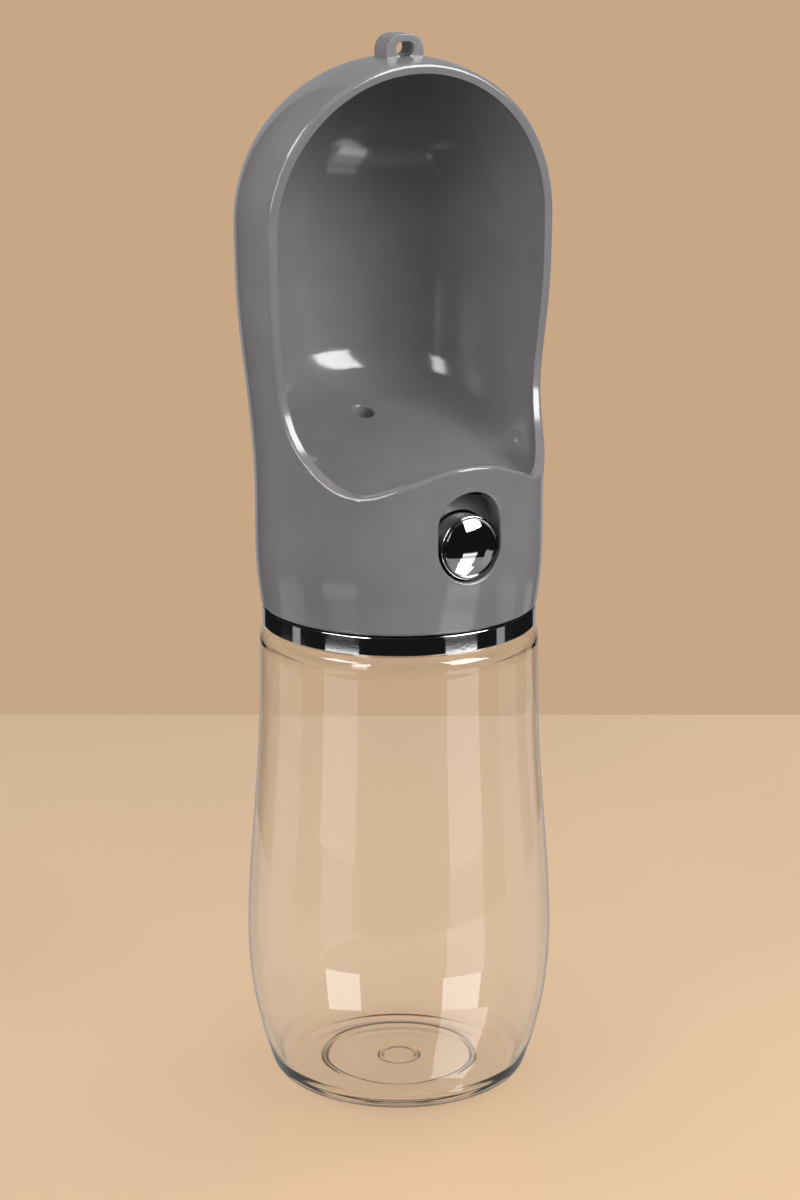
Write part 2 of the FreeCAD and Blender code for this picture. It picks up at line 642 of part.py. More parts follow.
def shell_features():
    """Return what stands inside the skirt: pocket wall, cap seat and bead, outlet spigot and screw bosses."""
    inside = shell_form(SHELL_WALL / 2)
    features = []
    pocket_r = POCKET_R + POCKET_WALL
    wall = stadium_across(pocket_r, POCKET_BACK_FRONT, HOOD_R, BUTTON_Z, POCKET_TOP_Z)
    features.append(wall.common(inside))
    seat_in = CAP_FLANGE_R - SEAT_LAP
    reach = HOOD_R
    seat = [(seat_in, PLATE_TOP_Z), (reach, PLATE_TOP_Z), (reach, PLATE_TOP_Z + SEAT_RIB_H)]
    seat += [(seat_in, PLATE_TOP_Z + SEAT_RIB_H)]
    notch_x = PLATE_HALF_W + 2 * SLIDE_GAP + GUIDE_LIP_W
    notch = box_between((-notch_x, GUIDE_REAR, PLATE_TOP_Z - 1), (notch_x, reach, PLATE_TOP_Z + SEAT_RIB_H + 1))
    features.append(turned(seat).cut(notch).common(inside))
    bead_top = PLATE_BOTTOM_Z - SEAT_GAP
    bead_in = CAP_FLANGE_R - SNAP_BITE
    bead = [(bead_in, bead_top), (reach, bead_top), (reach, bead_top - SNAP_BEAD_H)]
    bead += [(bead_in, bead_top - SNAP_BEAD_H * 0.5)]
    features.append(turned(bead).common(inside))
    spigot_low = BOWL_Z - BOWL_THICK - SPIGOT_L - 1.0
    spigot = post(OUTLET_R + RISER_WALL, spigot_low, BOWL_Z + 5, OUTLET_BACK)
    features.append(spigot.cut(above_bowl()))
    for x, z in guide_screw_places():
        features.append(rod_across(GUIDE_BOSS_R, EAR_FRONT, HOOD_R, z, x).common(inside))
    return features


def make_valve_body():
    """The valve: a front-to-back barrel with a seat, an inlet boss, an outlet riser and a screw foot."""
    z = BUTTON_Z
    rear = -REAR_END_BACK
    front = -FRONT_BORE_END_BACK + GLAND_WALL_T + GLAND_L
    body = rod_across(VALVE_R, rear, front, z)
    body = body.fuse(post(INLET_BOSS_R, PLATE_TOP_Z, z, INLET_BACK))
    body = body.fuse(post(OUTLET_R + RISER_WALL, z, riser_top_z(), OUTLET_BACK))
    far_back = FOOT_SCREW_BACKS[1] + FOOT_MARGIN
    near_back = FOOT_SCREW_BACKS[0] - FOOT_MARGIN
    foot = box_between((-FOOT_X, -far_back, SCREW_FOOT_Z), (FOOT_X, -near_back, SCREW_FOOT_Z + FOOT_T))
    upright = [e for e in foot.Edges if abs(e.tangentAt(e.FirstParameter).z) > 0.9]
    body = body.fuse(foot.makeFillet(FOOT_MARGIN - 0.4, upright))
    body = body.cut(rod_across(REAR_BORE_R, rear - 1, -SEAT_BACK, z))
    body = body.cut(rod_across(SEAT_BORE_R, -SEAT_BACK - 1, -SEAT_BACK + SEAT_T + 1, z))
    body = body.cut(rod_across(FRONT_BORE_R, -SEAT_BACK + SEAT_T, -FRONT_BORE_END_BACK, z))
    body = body.cut(rod_across(ROD_R + RUN_GAP, -FRONT_BORE_END_BACK - 1, front, z))
    body = body.cut(rod_across(GLAND_BORE_R, front - GLAND_L, front + 1, z))
    body = body.cut(post(INLET_R, PLATE_TOP_Z - 1, z, INLET_BACK))
    body = body.cut(post(INLET_SEAL_R, PLATE_TOP_Z - 1, PLATE_TOP_Z + INLET_SEAL_T, INLET_BACK))
    body = body.cut(post(OUTLET_R, z, riser_top_z() + 1, OUTLET_BACK))
    for x, back in foot_screw_places():
        body = body.cut(post(SCREW_R + FIT_GAP, SCREW_FOOT_Z - 1, SCREW_FOOT_Z + FOOT_T + 1, back, x))
    return body.removeSplitter()


def spigot_low_z():
    """Return the height of the lower end of the bowl's outlet spigot."""
    return BOWL_Z - BOWL_THICK - SPIGOT_L - 1.0


def riser_top_z():
    """Return the height of the upper end of the valve's outlet riser."""
    return spigot_low_z() - RISER_SPLIT


def make_inlet_seal():
    """The silicone washer round the inlet, between the valve and the cap's plate."""
    top = PLATE_TOP_Z + INLET_SEAL_T
    outer = post(INLET_SEAL_R - FIT_GAP, PLATE_TOP_Z, top, INLET_BACK)
    return outer.cut(post(INLET_R + 0.2, PLATE_TOP_Z - 1, top + 1, INLET_BACK))


def make_outlet_sleeve():
    """The silicone sleeve that joins the valve's riser to the bowl's outlet spigot."""
    inner_r = OUTLET_R + RISER_WALL + FIT_GAP
    outer_r = inner_r + SLEEVE_WALL
    high = bowl_plane_z(outer_r - OUTLET_BACK, BOWL_THICK) - SLIDE_GAP
    sleeve = post(outer_r, high - SLEEVE_H, high, OUTLET_BACK)
    return sleeve.cut(post(inner_r, high - SLEEVE_H - 1, high + 1, OUTLET_BACK))


def make_valve_end_cap():
    """The plug that closes the valve's rear bore, with an O-ring groove and a spigot for the spring."""
    flange = -REAR_END_BACK - END_CAP_FLANGE_T
    mouth = -REAR_END_BACK
    plug_r = REAR_BORE_R - FIT_GAP
    groove_r = REAR_BORE_R - 2 * END_SEAL_WIRE
    mid = mouth + END_CAP_PLUG_L / 2
    plug = mouth + END_CAP_PLUG_L
    points = [(0, flange), (VALVE_R, flange), (VALVE_R, mouth), (plug_r, mouth), (plug_r, mid - END_SEAL_WIRE)]
    points += [(groove_r, mid - END_SEAL_WIRE), (groove_r, mid + END_SEAL_WIRE), (plug_r, mid + END_SEAL_WIRE)]
    points += [(plug_r, plug), (END_CAP_SPIGOT_R, plug), (END_CAP_SPIGOT_R, plug + END_CAP_SPIGOT_L)]
    return turned_across(points + [(0, plug + END_CAP_SPIGOT_L)], BUTTON_Z)


def make_end_cap_seal():
    """The O-ring in the end plug's groove."""
    wire = END_SEAL_WIRE - FIT_GAP / 2
    rear = -REAR_END_BACK + END_CAP_PLUG_L / 2 - wire
    return o_ring_across(REAR_BORE_R - 2 * END_SEAL_WIRE + FIT_GAP / 2, wire, rear, BUTTON_Z)


def make_rod_seal():
    """The O-ring that seals the sliding rod at the front of the valve."""
    rear = -FRONT_BORE_END_BACK + GLAND_WALL_T
    return o_ring_across(ROD_R + FIT_GAP, O_RING_WIRE, rear + FIT_GAP, BUTTON_Z)


def make_seal_nut():
    """The gland nut that holds the rod's O-ring in the valve."""
    mouth = -FRONT_BORE_END_BACK + GLAND_WALL_T + GLAND_L
    tail = mouth - GLAND_L + 2 * O_RING_WIRE + 2 * FIT_GAP
    bore = ROD_R + RUN_GAP
    plug_r = GLAND_BORE_R - FIT_GAP
    face = mouth + GLAND_NUT_FLANGE_T
    points = [(bore, tail), (plug_r, tail), (plug_r, mouth), (GLAND_NUT_FLANGE_R, mouth)]
    return turned_across(points + [(GLAND_NUT_FLANGE_R, face), (bore, face)], BUTTON_Z)


def make_valve_plug():
    """The soft plug that the spring presses on the valve's seat."""
    face = -SEAT_BACK - SEAT_GAP
    back = face - PLUG_T
    bore = ROD_R + FIT_GAP / 2
    points = [(bore, face), (PLUG_R, face), (PLUG_R, back), (PLUG_NOSE_R, back)]
    return turned_across(points + [(PLUG_NOSE_R, back - PLUG_NOSE_L), (bore, back - PLUG_NOSE_L)], BUTTON_Z)


def make_plunger_rod():
    """The rod that carries the plug, with a collar in front of the plug and a pad behind the button's stem."""
    face = -SEAT_BACK - SEAT_GAP
    tail = face - PLUG_T - PLUG_NOSE_L + 0.3
    pad = PAD_FRONT - PAD_T
    points = [(0, tail), (ROD_R, tail), (ROD_R, face), (COLLAR_R, face), (COLLAR_R, face + COLLAR_T)]
    points += [(ROD_R, face + COLLAR_T), (ROD_R, pad), (PAD_R, pad), (PAD_R, PAD_FRONT), (0, PAD_FRONT)]
    return turned_across(points, BUTTON_Z)


def make_valve_spring():
    """The coil spring between the end plug and the soft plug."""
    rear = -REAR_END_BACK + END_CAP_PLUG_L + FIT_GAP
    front = -SEAT_BACK - SEAT_GAP - PLUG_T - FIT_GAP
    return spring_across(VALVE_SPRING_R, VALVE_SPRING_WIRE, VALVE_SPRING_TURNS, rear, front, BUTTON_Z)


def make_valve_screws():
    """The four screws that hold the valve's foot on the cap's bosses."""
    seat = SCREW_FOOT_Z + FOOT_T
    screws = []
    for x, back in foot_screw_places():
        shank = post(SCREW_R, SCREW_FOOT_Z - SCREW_BITE, seat, back, x)
        screws.append(shank.fuse(post(SCREW_HEAD_R, seat, seat + SCREW_HEAD_T, back, x)))
    return Part.makeCompound(screws)


def make_lock_slider():
    """The sliding plate behind the pocket, with the cup that carries the button."""
    z = BUTTON_Z
    low = z - PLATE_BELOW
    side = z + PLATE_SIDE_ABOVE
    left = V(-PLATE_HALF_W, 0, side)
    right = V(PLATE_HALF_W, 0, side)
    crown = Part.Arc(left, V(0, 0, z + PLATE_CROWN_ABOVE), right).toShape()
    feet = [V(PLATE_HALF_W, 0, low), V(-PLATE_HALF_W, 0, low)]
    lines = [Part.makeLine(right, feet[0]), Part.makeLine(feet[0], feet[1]), Part.makeLine(feet[1], left)]
    face = Part.Face(Part.Wire([crown] + lines))
    face.translate(at_depth(PLATE_REAR))
    plate = face.extrude(V(0, -PLATE_T, 0))
    slider = plate.fuse(rod_across(CUP_R + CUP_WALL, CUP_REAR, PLATE_REAR, z))
    slider = slider.cut(rod_across(CUP_R, CUP_FLOOR, PLATE_FRONT + 1, z))
    slider = slider.cut(rod_across(STEM_R + RUN_GAP, CUP_REAR - 1, CUP_FLOOR + 1, z))
    rim = [e for e in slider.Edges if is_ring(e, CUP_R, PLATE_FRONT)]
    return slider.makeFillet(PLATE_HOLE_ROUND, rim).removeSplitter()


def is_ring(edge, radius, front):
    """Tell whether an edge is a full ring of the given radius in the plane at the given depth."""
    box = edge.BoundBox
    flat = abs(box.YMin + front) < 0.01 and abs(box.YMax + front) < 0.01
    return flat and abs(box.XLength - 2 * radius) < 0.01


def make_slide_guide():
    """The fixed frame behind the slider: side lips, a bottom stop, a window for the cup and screw ears."""
    z = BUTTON_Z
    lip_in = PLATE_HALF_W + SLIDE_GAP
    half = lip_in + GUIDE_LIP_W
    stop_top = z - PLATE_BELOW - SLIDE_GAP
    low = stop_top - GUIDE_STOP_H
    high = z + GUIDE_ABOVE
    lip_front = POCKET_BACK_FRONT - 0.1
    guide = box_between((-half, GUIDE_REAR, low), (half, GUIDE_FRONT, high))
    guide = guide.fuse(box_between((-half, GUIDE_FRONT, low), (half, lip_front, stop_top)))
    ear_low = z - GUIDE_EAR_BELOW
    ear_high = z + GUIDE_EAR_ABOVE
    for near, far in ((-half, -lip_in), (lip_in, half)):
        guide = guide.fuse(box_between((near, GUIDE_FRONT, low), (far, lip_front, z + PLATE_SIDE_ABOVE)))
    guide = guide.fuse(box_between((-GUIDE_EAR_X, EAR_REAR, ear_low), (GUIDE_EAR_X, EAR_FRONT, ear_high)))
    window_r = CUP_R + CUP_WALL + SLIDE_GAP
    guide = guide.cut(stadium_across(window_r, EAR_REAR - 1, GUIDE_FRONT + 1, z, z + LOCK_TRAVEL))
    for x, height in guide_screw_places():
        guide = guide.cut(rod_across(GUIDE_SCREW_R + FIT_GAP, EAR_REAR - 1, EAR_FRONT + 1, height, x))
    return guide.removeSplitter()


def make_guide_screws():
    """The four screws that hold the guide on the shell's bosses."""
    screws = []
    for x, z in guide_screw_places():
        shank = rod_across(GUIDE_SCREW_R, EAR_REAR, EAR_FRONT + GUIDE_SCREW_BITE - 0.4, z, x)
        head = rod_across(SCREW_HEAD_R, EAR_REAR - SCREW_HEAD_T, EAR_REAR, z, x)
        screws.append(shank.fuse(head))
    return Part.makeCompound(screws)


def make_button_cap():
    """The bright push button: a domed face inside a fine groove and rim, a deep skirt and a stem boss."""
    z = BUTTON_Z
    face = BUTTON_FACE_FRONT
    rim_in = BUTTON_R - BUTTON_RIM_W
    groove_in = rim_in - BUTTON_GROOVE_W
    apex = face + BUTTON_DOME
    bulge_r = groove_in / 2
    sphere_r = (groove_in ** 2 + BUTTON_DOME ** 2) / (2 * BUTTON_DOME)
    bulge = apex - sphere_r + math.sqrt(sphere_r ** 2 - bulge_r ** 2)
    inner = face - BUTTON_WALL
    boss_end = inner - BUTTON_BOSS_L
    c = BUTTON_EDGE_ROUND
    outline = [(groove_in, face), (groove_in, face - BUTTON_GROOVE_D), (rim_in, face - BUTTON_GROOVE_D)]
    outline += [(rim_in, face), (BUTTON_R - c, face), (BUTTON_R, face - c), (BUTTON_R, SKIRT_REAR)]
    outline += [(BUTTON_R - BUTTON_WALL, SKIRT_REAR), (BUTTON_R - BUTTON_WALL, inner), (BUTTON_BOSS_R, inner)]
    outline += [(BUTTON_BOSS_R, boss_end), (STEM_R + FIT_GAP / 2, boss_end)]
    socket = face - STEM_SOCKET_D
    outline += [(STEM_R + FIT_GAP / 2, socket), (0, socket), (0, apex)]
    edges = chain(outline) + [arc((0, apex), (bulge_r, bulge), (groove_in, face))]
    cap = Part.Face(Part.Wire(Part.__sortEdges__(edges))).revolve(ORIGIN, UP, 360)
    cap.rotate(ORIGIN, V(1, 0, 0), 90)
    cap.translate(V(0, 0, z))
    return cap


def make_button_stem():
    """The button's stem, which slides in the cup and ends just in front of the plunger's pad."""
    groove_front = CLIP_FRONT
    groove_rear = CLIP_FRONT - CLIP_T - FIT_GAP
    groove_r = STEM_R - CLIP_GROOVE_D
    top = BUTTON_FACE_FRONT - STEM_SOCKET_D - FIT_GAP
    points = [(0, STEM_REAR), (STEM_R, STEM_REAR), (STEM_R, groove_rear), (groove_r, groove_rear)]
    points += [(groove_r, groove_front), (STEM_R, groove_front), (STEM_R, top), (0, top)]
    return turned_across(points, BUTTON_Z)


def make_stem_clip():
    """The open spring clip that keeps the stem in the cup."""
    inner_r = STEM_R - CLIP_GROOVE_D + FIT_GAP / 2
    rear = CLIP_FRONT - CLIP_T
    clip = rod_across(CLIP_R, rear, CLIP_FRONT - FIT_GAP / 2, BUTTON_Z)
    clip = clip.cut(rod_across(inner_r, rear - 1, CLIP_FRONT + 1, BUTTON_Z))
    mouth = box_between((-inner_r * 0.8, rear - 1, BUTTON_Z - CLIP_R - 1), (inner_r * 0.8, CLIP_FRONT + 1, BUTTON_Z))
    return clip.cut(mouth)


def make_button_spring():
    """The coil spring round the stem that pushes the button out."""
    front = BUTTON_FACE_FRONT - BUTTON_WALL - FIT_GAP
    rear = CUP_FLOOR + FIT_GAP
    return spring_across(BUTTON_SPRING_R, BUTTON_SPRING_WIRE, BUTTON_SPRING_TURNS, rear, front, BUTTON_Z)


MAKERS = {
    "bottle": make_bottle,
    "chrome_ring": make_chrome_ring,
    "inner_cap": make_inner_cap,
    "neck_gasket": make_neck_gasket,
    "head_shell": make_head_shell,
    "valve_body": make_valve_body,
    "inlet_seal": make_inlet_seal,
    "outlet_sleeve": make_outlet_sleeve,
    "valve_end_cap": make_valve_end_cap,
    "end_cap_seal": make_end_cap_seal,
    "rod_seal": make_rod_seal,
    "seal_nut": make_seal_nut,
    "valve_plug": make_valve_plug,
    "plunger_rod": make_plunger_rod,
    "valve_spring": make_valve_spring,
    "valve_screws": make_valve_screws,
    "lock_slider": make_lock_slider,
    "slide_guide": make_slide_guide,
    "guide_screws": make_guide_screws,
    "button_cap": make_button_cap,
    "button_stem": make_button_stem,
    "stem_clip": make_stem_clip,
    "button_spring": make_button_spring,
}


def main():
    """Build each piece and write it as its own STEP file."""
    os.makedirs("parts", exist_ok=True)
    for name, make in MAKERS.items():
        shape = make()
        shape.exportStep(f"parts/{name}.step")
        solids = len(shape.Solids)
        print(f"{name}: valid {shape.isValid()}, solids {solids}, volume {shape.Volume:.1f} mm3")


main()
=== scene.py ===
"""Portable pet water dispenser: a clear bottle, a bright trim ring and a grey hooded drinking head.

Lengths are in millimetres until a mesh is made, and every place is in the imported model's frame: +Z up, origin on the
table under the bottle's axis, front towards -Y. "Forward" is a distance in front of the axis, so y = -forward.
"""

import logging
import math
from dataclasses import dataclass, field
from enum import Enum

import bpy
import numpy as np
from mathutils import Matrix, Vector


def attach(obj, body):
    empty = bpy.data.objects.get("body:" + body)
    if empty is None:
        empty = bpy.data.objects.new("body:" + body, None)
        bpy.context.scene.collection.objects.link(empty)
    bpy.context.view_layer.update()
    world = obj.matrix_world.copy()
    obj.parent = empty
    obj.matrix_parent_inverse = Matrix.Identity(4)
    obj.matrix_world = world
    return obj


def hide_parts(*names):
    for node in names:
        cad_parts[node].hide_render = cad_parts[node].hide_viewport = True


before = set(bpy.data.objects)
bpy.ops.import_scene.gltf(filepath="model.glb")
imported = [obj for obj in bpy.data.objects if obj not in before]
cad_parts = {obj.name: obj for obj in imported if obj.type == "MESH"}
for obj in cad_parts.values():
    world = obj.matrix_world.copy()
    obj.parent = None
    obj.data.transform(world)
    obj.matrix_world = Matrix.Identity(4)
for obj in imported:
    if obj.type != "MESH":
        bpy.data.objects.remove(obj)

Array = np.ndarray
MM = 0.001
LOG = logging.getLogger("water_dispenser")
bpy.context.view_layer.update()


# Numbers and curves


def unit(vectors: Array) -> Array:
    """Return vectors scaled to length one along their last axis.

    Args:
        vectors: Any array whose last axis holds the components.

    Returns:
        The array of unit vectors, where a zero vector stays zero.
    """
    length = np.linalg.norm(vectors, axis=-1, keepdims=True)
    return vectors / np.where(length > 1e-12, length, 1.0)


def dot(first: Array, second: Array) -> Array:
    """Return the dot products along the last axis."""
    return np.sum(first * second, axis=-1)


@dataclass
class SmoothCurve:
    """A curve with continuous curvature through given points, as a cubic in the distance run along them.

    The slopes at the knots solve the usual three-term equations: each knot's slope and its neighbours', weighted by
    the runs beside it, equal three times the weighted chord slopes.
    """

    knots: Array
    first: tuple[float, ...] | None = None
    last: tuple[float, ...] | None = None

    def __post_init__(self) -> None:
        """Solve for the slopes at the knots."""
        self.knots = np.asarray(self.knots, float)
        runs = np.linalg.norm(np.diff(self.knots, axis=0), axis=1)
        self.at = np.concatenate([[0.0], np.cumsum(runs)])
        count = len(self.knots)
        chord = np.diff(self.knots, axis=0) / runs[:, None]
        matrix = np.zeros((count, count))
        right = np.zeros_like(self.knots)
        inner = np.arange(1, count - 1)
        matrix[inner, inner - 1] = runs[1:]
        matrix[inner, inner] = 2 * (runs[:-1] + runs[1:])
        matrix[inner, inner + 1] = runs[:-1]
        right[inner] = 3 * (runs[1:, None] * chord[:-1] + runs[:-1, None] * chord[1:])
        matrix[0, :2] = (1, 0) if self.first is not None else (2, 1)
        matrix[-1, -2:] = (0, 1) if self.last is not None else (1, 2)
        right[0] = self.first if self.first is not None else 3 * chord[0]
        right[-1] = self.last if self.last is not None else 3 * chord[-1]
        self.slopes = np.linalg.solve(matrix, right)

    def sample(self, count: int) -> Array:
        """Return points at even distances along the curve.

        Args:
            count: The number of points, both ends included.

        Returns:
            Points of shape (count, dimensions).
        """
        where = np.linspace(0.0, self.at[-1], count)
        cell = np.clip(np.searchsorted(self.at, where, side="right") - 1, 0, len(self.at) - 2)
        run = (self.at[cell + 1] - self.at[cell])[:, None]
        t = (where - self.at[cell])[:, None] / run
        low, high = self.knots[cell], self.knots[cell + 1]
        out, back = self.slopes[cell] * run, self.slopes[cell + 1] * run
        square, cube = t * t, t * t * t
        return (
            (2 * cube - 3 * square + 1) * low
            + (cube - 2 * square + t) * out
            + (3 * square - 2 * cube) * high
            + (cube - square) * back
        )


def rounded_outline(corners: Array, closed: bool = False, steps: int = 6) -> tuple[Array, Array]:
    """Return a flat outline whose corners are arcs, with the normal on its right-hand side at every point.

    The outline turns at each corner by an angle; the arc's tangent points lie the radius times the tangent of half
    that angle before and after the corner. A radius of zero keeps the corner as one point.

    Args:
        corners: Rows of (first, second, radius).
        closed: Whether the last corner joins the first.
        steps: The number of parts in each arc.

    Returns:
        The points and the unit normals, each of shape (count, 2).
    """
    corners = np.asarray(corners, float)
    places, radii = corners[:, :2], corners[:, 2]
    before = unit(places - np.roll(places, 1, axis=0))
    after = unit(np.roll(places, -1, axis=0) - places)
    if not closed:
        before[0], after[-1] = after[0], before[-1]
    turn = np.arctan2(before[:, 0] * after[:, 1] - before[:, 1] * after[:, 0], dot(before, after))
    reach = radii * np.tan(np.abs(turn) / 2)
    start = places - reach[:, None] * before
    side = np.sign(turn)[:, None] * radii[:, None]
    share = np.linspace(0.0, 1.0, steps + 1)[None, :]
    angle = np.arctan2(before[:, 1], before[:, 0])[:, None] + turn[:, None] * share
    left = np.stack([-np.sin(angle), np.cos(angle)], axis=-1)
    centre = start + side * np.stack([-before[:, 1], before[:, 0]], axis=-1)
    points = centre[:, None, :] - side[:, None, :] * left
    points, normals = points.reshape(-1, 2), -left.reshape(-1, 2)
    if closed:
        points, normals = np.vstack([points, points[:1]]), np.vstack([normals, normals[:1]])
    return points, normals


def plain(points: Array) -> Array:
    """Return outline rows with a corner radius of zero for points of a smooth run."""
    return np.column_stack([points, np.zeros(len(points))])


class Axis(Enum):
    """The line that a turned piece goes round."""

    UPRIGHT = "upright"
    FORWARD = "forward"


class MeshDraft:
    """Grids of points with their normals, gathered and welded into one mesh."""

    WELD = 0.001

    def __init__(self) -> None:
        """Start with nothing."""
        self.points: list[Array] = []
        self.normals: list[Array] = []
        self.triangles: list[Array] = []
        self.count = 0

    def grid(self, points: Array, normals: Array) -> None:
        """Add a grid of two triangles a cell.

        Args:
            points: Places of shape (rows, columns, 3).
            normals: Unit normals of the same shape.
        """
        rows, columns = points.shape[:2]
        index = np.arange(rows * columns).reshape(rows, columns) + self.count
        low, across, far, up = index[:-1, :-1], index[:-1, 1:], index[1:, 1:], index[1:, :-1]
        self.triangles.append(np.stack([low, across, far], axis=-1).reshape(-1, 3))
        self.triangles.append(np.stack([low, far, up], axis=-1).reshape(-1, 3))
        self.points.append(points.reshape(-1, 3))
        self.normals.append(normals.reshape(-1, 3))
        self.count += rows * columns

    def turned(self, outline: Array, normals: Array, axis: Axis, centre: float = 0.0, sides: int = 192) -> None:
        """Add an outline turned once round an axis: each point's first number is its distance from the axis.

        Args:
            outline: Points (radius, height) or (radius, forward).
            normals: Unit normals in the same two directions.
            axis: The line it goes round.
            centre: The height of a forward axis.
            sides: The number of steps round.
        """
        angle = np.linspace(0.0, 2 * math.pi, sides + 1)
        angle[-1] = 0.0
        cos, sin = np.cos(angle)[None, :], np.sin(angle)[None, :]

        def placed(pair: Array, base: float) -> Array:
            """Return one pair of columns carried round the axis."""
            radius, along = pair[:, :1], pair[:, 1:] + 0 * cos
            if axis is Axis.UPRIGHT:
                return np.stack([radius * cos, radius * sin, along], axis=-1)
            return np.stack([radius * cos, -along, base + radius * sin], axis=-1)

        self.grid(placed(outline, centre), placed(normals, 0.0))

    def build(self, name: str) -> bpy.types.Object:
        """Weld the grids and make the object, with its faces turned to agree with the normals.

        Args:
            name: The piece's name.

        Returns:
            The new object, at the origin, in metres.
        """
        points, normals = np.concatenate(self.points), np.concatenate(self.normals)
        keys = np.round(points / self.WELD).astype(np.int64)
        _, first, inverse = np.unique(keys, axis=0, return_index=True, return_inverse=True)
        inverse = inverse.reshape(-1)
        summed = np.zeros((len(first), 3))
        np.add.at(summed, inverse, normals)
        normal = unit(summed)
        points = points[first]
        faces = inverse[np.concatenate(self.triangles)]
        a, b, c = faces.T
        faces = faces[(a != b) & (b != c) & (c != a)]
        a, b, c = points[faces[:, 0]], points[faces[:, 1]], points[faces[:, 2]]
        facing = np.cross(b - a, c - a)
        wrong = dot(facing, normal[faces].sum(axis=1)) < 0
        faces[wrong] = faces[wrong][:, ::-1]
        mesh = bpy.data.meshes.new(name)
        mesh.vertices.add(len(points))
        mesh.vertices.foreach_set("co", (points * MM).astype(np.float32).ravel())
        mesh.loops.add(len(faces) * 3)
        mesh.loops.foreach_set("vertex_index", faces.astype(np.int32).ravel())
        mesh.polygons.add(len(faces))
        mesh.polygons.foreach_set("loop_start", np.arange(0, len(faces) * 3, 3, dtype=np.int32))
        mesh.update(calc_edges=True)
        mesh.validate()
        mesh.polygons.foreach_set("use_smooth", np.ones(len(mesh.polygons), bool))
        mesh.normals_split_custom_set_from_vertices(normal.tolist())
        piece = bpy.data.objects.new(name, mesh)
        bpy.context.scene.collection.objects.link(piece)
        return piece


# Finishes


class Effect(Enum):
    """The shader groups that several finishes share."""

    GRAIN = "moulded_grain"
    MARKS = "handling_marks"


def effect_group(effect: Effect) -> bpy.types.NodeTree:
    """Build one shared shader group, or return it if it exists.

    The grain is two noises of different size: a height for the bump and a slow mask for the tint. The marks
    are a slower noise cut to its peaks, like wiped finger marks, and a fine speckle of dust.

    Args:
        effect: Which group.

    Returns:
        The node group, whose inputs are Vector, Scale and Amount.
    """
    found = bpy.data.node_groups.get(effect.value)
    if found:
        return found
    tree = bpy.data.node_groups.new(effect.value, "ShaderNodeTree")
    face = tree.interface
    face.new_socket(name="Vector", in_out="INPUT", socket_type="NodeSocketVector")
    face.new_socket(name="Scale", in_out="INPUT", socket_type="NodeSocketFloat")
    face.new_socket(name="Amount", in_out="INPUT", socket_type="NodeSocketFloat")
    face.new_socket(name="Height", in_out="OUTPUT", socket_type="NodeSocketFloat")
    face.new_socket(name="Mask", in_out="OUTPUT", socket_type="NodeSocketFloat")
    nodes, links = tree.nodes, tree.links
    start, end = nodes.new("NodeGroupInput"), nodes.new("NodeGroupOutput")
    fine, slow = nodes.new("ShaderNodeTexNoise"), nodes.new("ShaderNodeTexNoise")
    fine.inputs["Detail"].default_value = 3.0
    slow.inputs["Detail"].default_value = 2.0
    slower = nodes.new("ShaderNodeMath")
    slower.operation = "MULTIPLY"
    slower.inputs[1].default_value = 0.06 if effect is Effect.GRAIN else 0.22
    height = nodes.new("ShaderNodeMath")
    height.operation = "MULTIPLY"
    ramp = nodes.new("ShaderNodeMapRange")
    low, high = (0.3, 0.7) if effect is Effect.GRAIN else (0.52, 0.74)
    ramp.inputs["From Min"].default_value = low
    ramp.inputs["From Max"].default_value = high
    links.new(start.outputs["Vector"], fine.inputs["Vector"])
    links.new(start.outputs["Vector"], slow.inputs["Vector"])
    links.new(start.outputs["Scale"], fine.inputs["Scale"])
    links.new(start.outputs["Scale"], slower.inputs[0])
    links.new(slower.outputs[0], slow.inputs["Scale"])
    links.new(fine.outputs["Fac"], height.inputs[0])
    links.new(start.outputs["Amount"], height.inputs[1])
    links.new(slow.outputs["Fac"], ramp.inputs["Value"])
    links.new(height.outputs[0], end.inputs["Height"])
    links.new(ramp.outputs["Result"], end.inputs["Mask"])
    return tree


